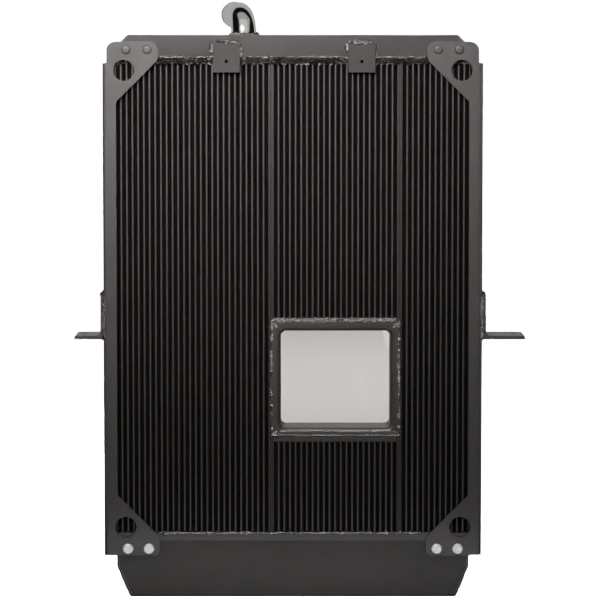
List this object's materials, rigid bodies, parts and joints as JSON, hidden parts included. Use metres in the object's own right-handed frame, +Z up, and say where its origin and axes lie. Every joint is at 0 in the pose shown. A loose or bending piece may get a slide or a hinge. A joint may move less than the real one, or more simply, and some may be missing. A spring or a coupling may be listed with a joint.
{
  "type": "engine cooling radiator",
  "caption": "Down-flow heavy-duty radiator: bar and plate core with a pass-through window, welded tanks, side channels with gussets, foot brackets and hose pipes.",
  "frame": {"origin": "centre of the bottom tank's underside, midway between the core's front and back faces", "axes": "+Z up along the tubes, +X to the right seen from the front, +Y from the front to the back"},
  "size_m": [0.945, 0.1711, 1.2511],
  "materials": {
    "black_paint": "semi-gloss black paint",
    "core_paint": "satin black paint over brazed aluminium",
    "fin_paint": "thin matt black paint on corrugated aluminium fins",
    "zinc_plate": "bright zinc plate",
    "polished_pipe": "bright plated steel tube",
    "bare_aluminium": "machined",
    "brass": "turned"
  },
  "bodies": {
    "radiator": {"left_tubes": "core_paint", "right_tubes": "core_paint", "upper_middle_tubes": "core_paint", "lower_middle_tubes": "core_paint", "left_end_plate": "core_paint", "right_end_plate": "core_paint", "left_block_inner_plate": "core_paint", "right_block_inner_plate": "core_paint", "upper_middle_left_plate": "core_paint", "upper_middle_right_plate": "core_paint", "lower_middle_left_plate": "core_paint", "lower_middle_right_plate": "core_paint", "left_fins": "fin_paint", "right_fins": "fin_paint", "upper_middle_fins": "fin_paint", "lower_middle_fins": "fin_paint", "window_sleeve": "black_paint", "window_front_plate": "black_paint", "window_back_plate": "black_paint", "window_collector": "black_paint", "top_tank": "black_paint", "bottom_tank": "black_paint", "top_header_collar": "black_paint", "bottom_header_collar": "black_paint", "left_side_channel": "black_paint", "right_side_channel": "black_paint", "left_foot_bracket": "black_paint", "right_foot_bracket": "black_paint", "drain_bung": "black_paint", "left_tab": "black_paint", "right_tab": "black_paint", "upper_left_mounting_block": "bare_aluminium", "upper_right_mounting_block": "bare_aluminium", "lower_left_mounting_block": "bare_aluminium", "lower_right_mounting_block": "bare_aluminium", "upper_left_front_outer_bolt": "black_paint", "upper_left_front_inner_bolt": "black_paint", "upper_right_front_outer_bolt": "black_paint", "upper_right_front_inner_bolt": "black_paint", "upper_left_back_outer_bolt": "black_paint", "upper_left_back_inner_bolt": "black_paint", "upper_right_back_outer_bolt": "black_paint", "upper_right_back_inner_bolt": "black_paint", "lower_left_front_outer_bolt": "zinc_plate", "lower_left_front_inner_bolt": "zinc_plate", "lower_right_front_outer_bolt": "zinc_plate", "lower_right_front_inner_bolt": "zinc_plate", "lower_left_back_outer_bolt": "zinc_plate", "lower_left_back_inner_bolt": "zinc_plate", "lower_right_back_outer_bolt": "zinc_plate", "lower_right_back_inner_bolt": "zinc_plate", "inlet_pipe": "polished_pipe", "outlet_pipe": "polished_pipe", "drain_cock_body": "brass"},
    "drain_handle": {"drain_cock_handle": "brass"}
  },
  "joints": [
    {"name": "drain_turn", "type": "hinge", "parent": "radiator", "child": "drain_handle", "pos_m": [-0.205, 0.0805, 0.03], "axis": [0, 1, 0], "range_deg": [0, 90]}
  ]
}
